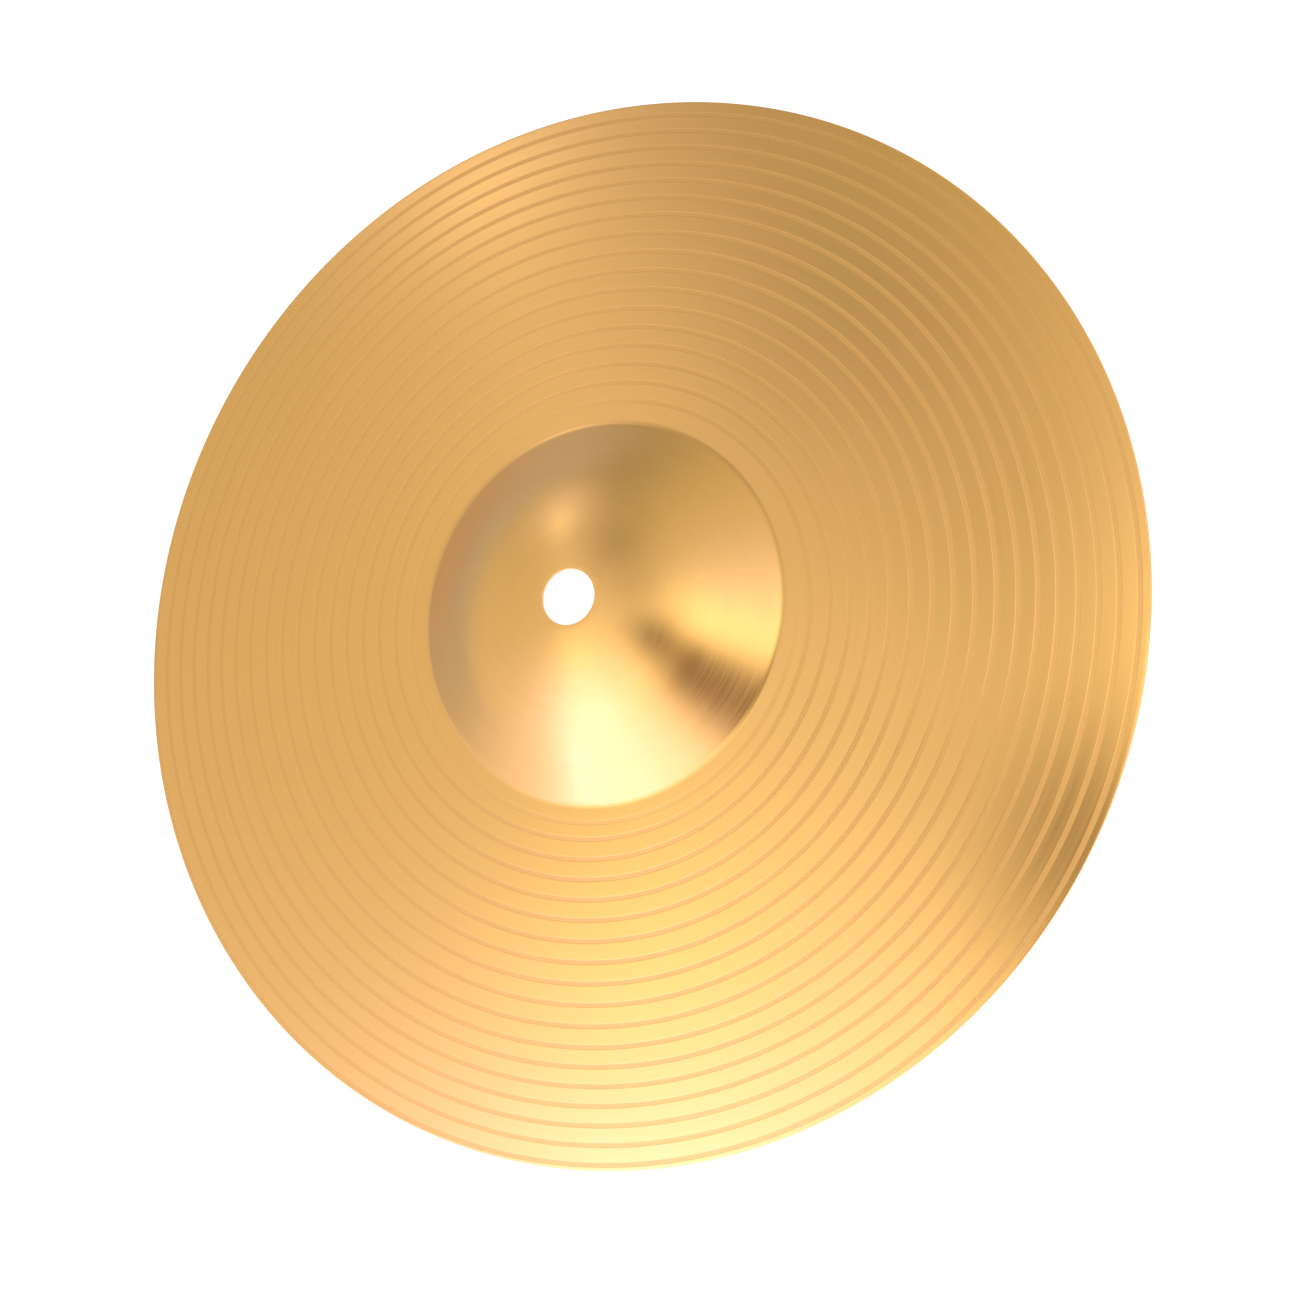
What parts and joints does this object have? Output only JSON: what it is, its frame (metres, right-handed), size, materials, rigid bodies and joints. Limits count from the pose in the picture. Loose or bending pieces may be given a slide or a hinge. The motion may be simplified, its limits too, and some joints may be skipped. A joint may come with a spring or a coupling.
{
  "type": "crash cymbal",
  "caption": "Round brass cymbal plate with a domed bell, a shallow bow, a plain centre hole for a stand and a spiral lathed groove on its top face.",
  "frame": {"origin": "on the axis of the centre hole, level with the lowest edge of the rim, so the cymbal rests on Z = 0", "axes": "+Z along the axis of the centre hole, towards the bell's top; the spiral groove runs out over the rim on the -X side"},
  "size_m": [0.254, 0.254, 0.0262],
  "materials": {
    "brass": "lathed and circularly brushed sheet brass"
  },
  "bodies": {
    "root": {"cymbal": "brass"}
  },
  "joints": []
}
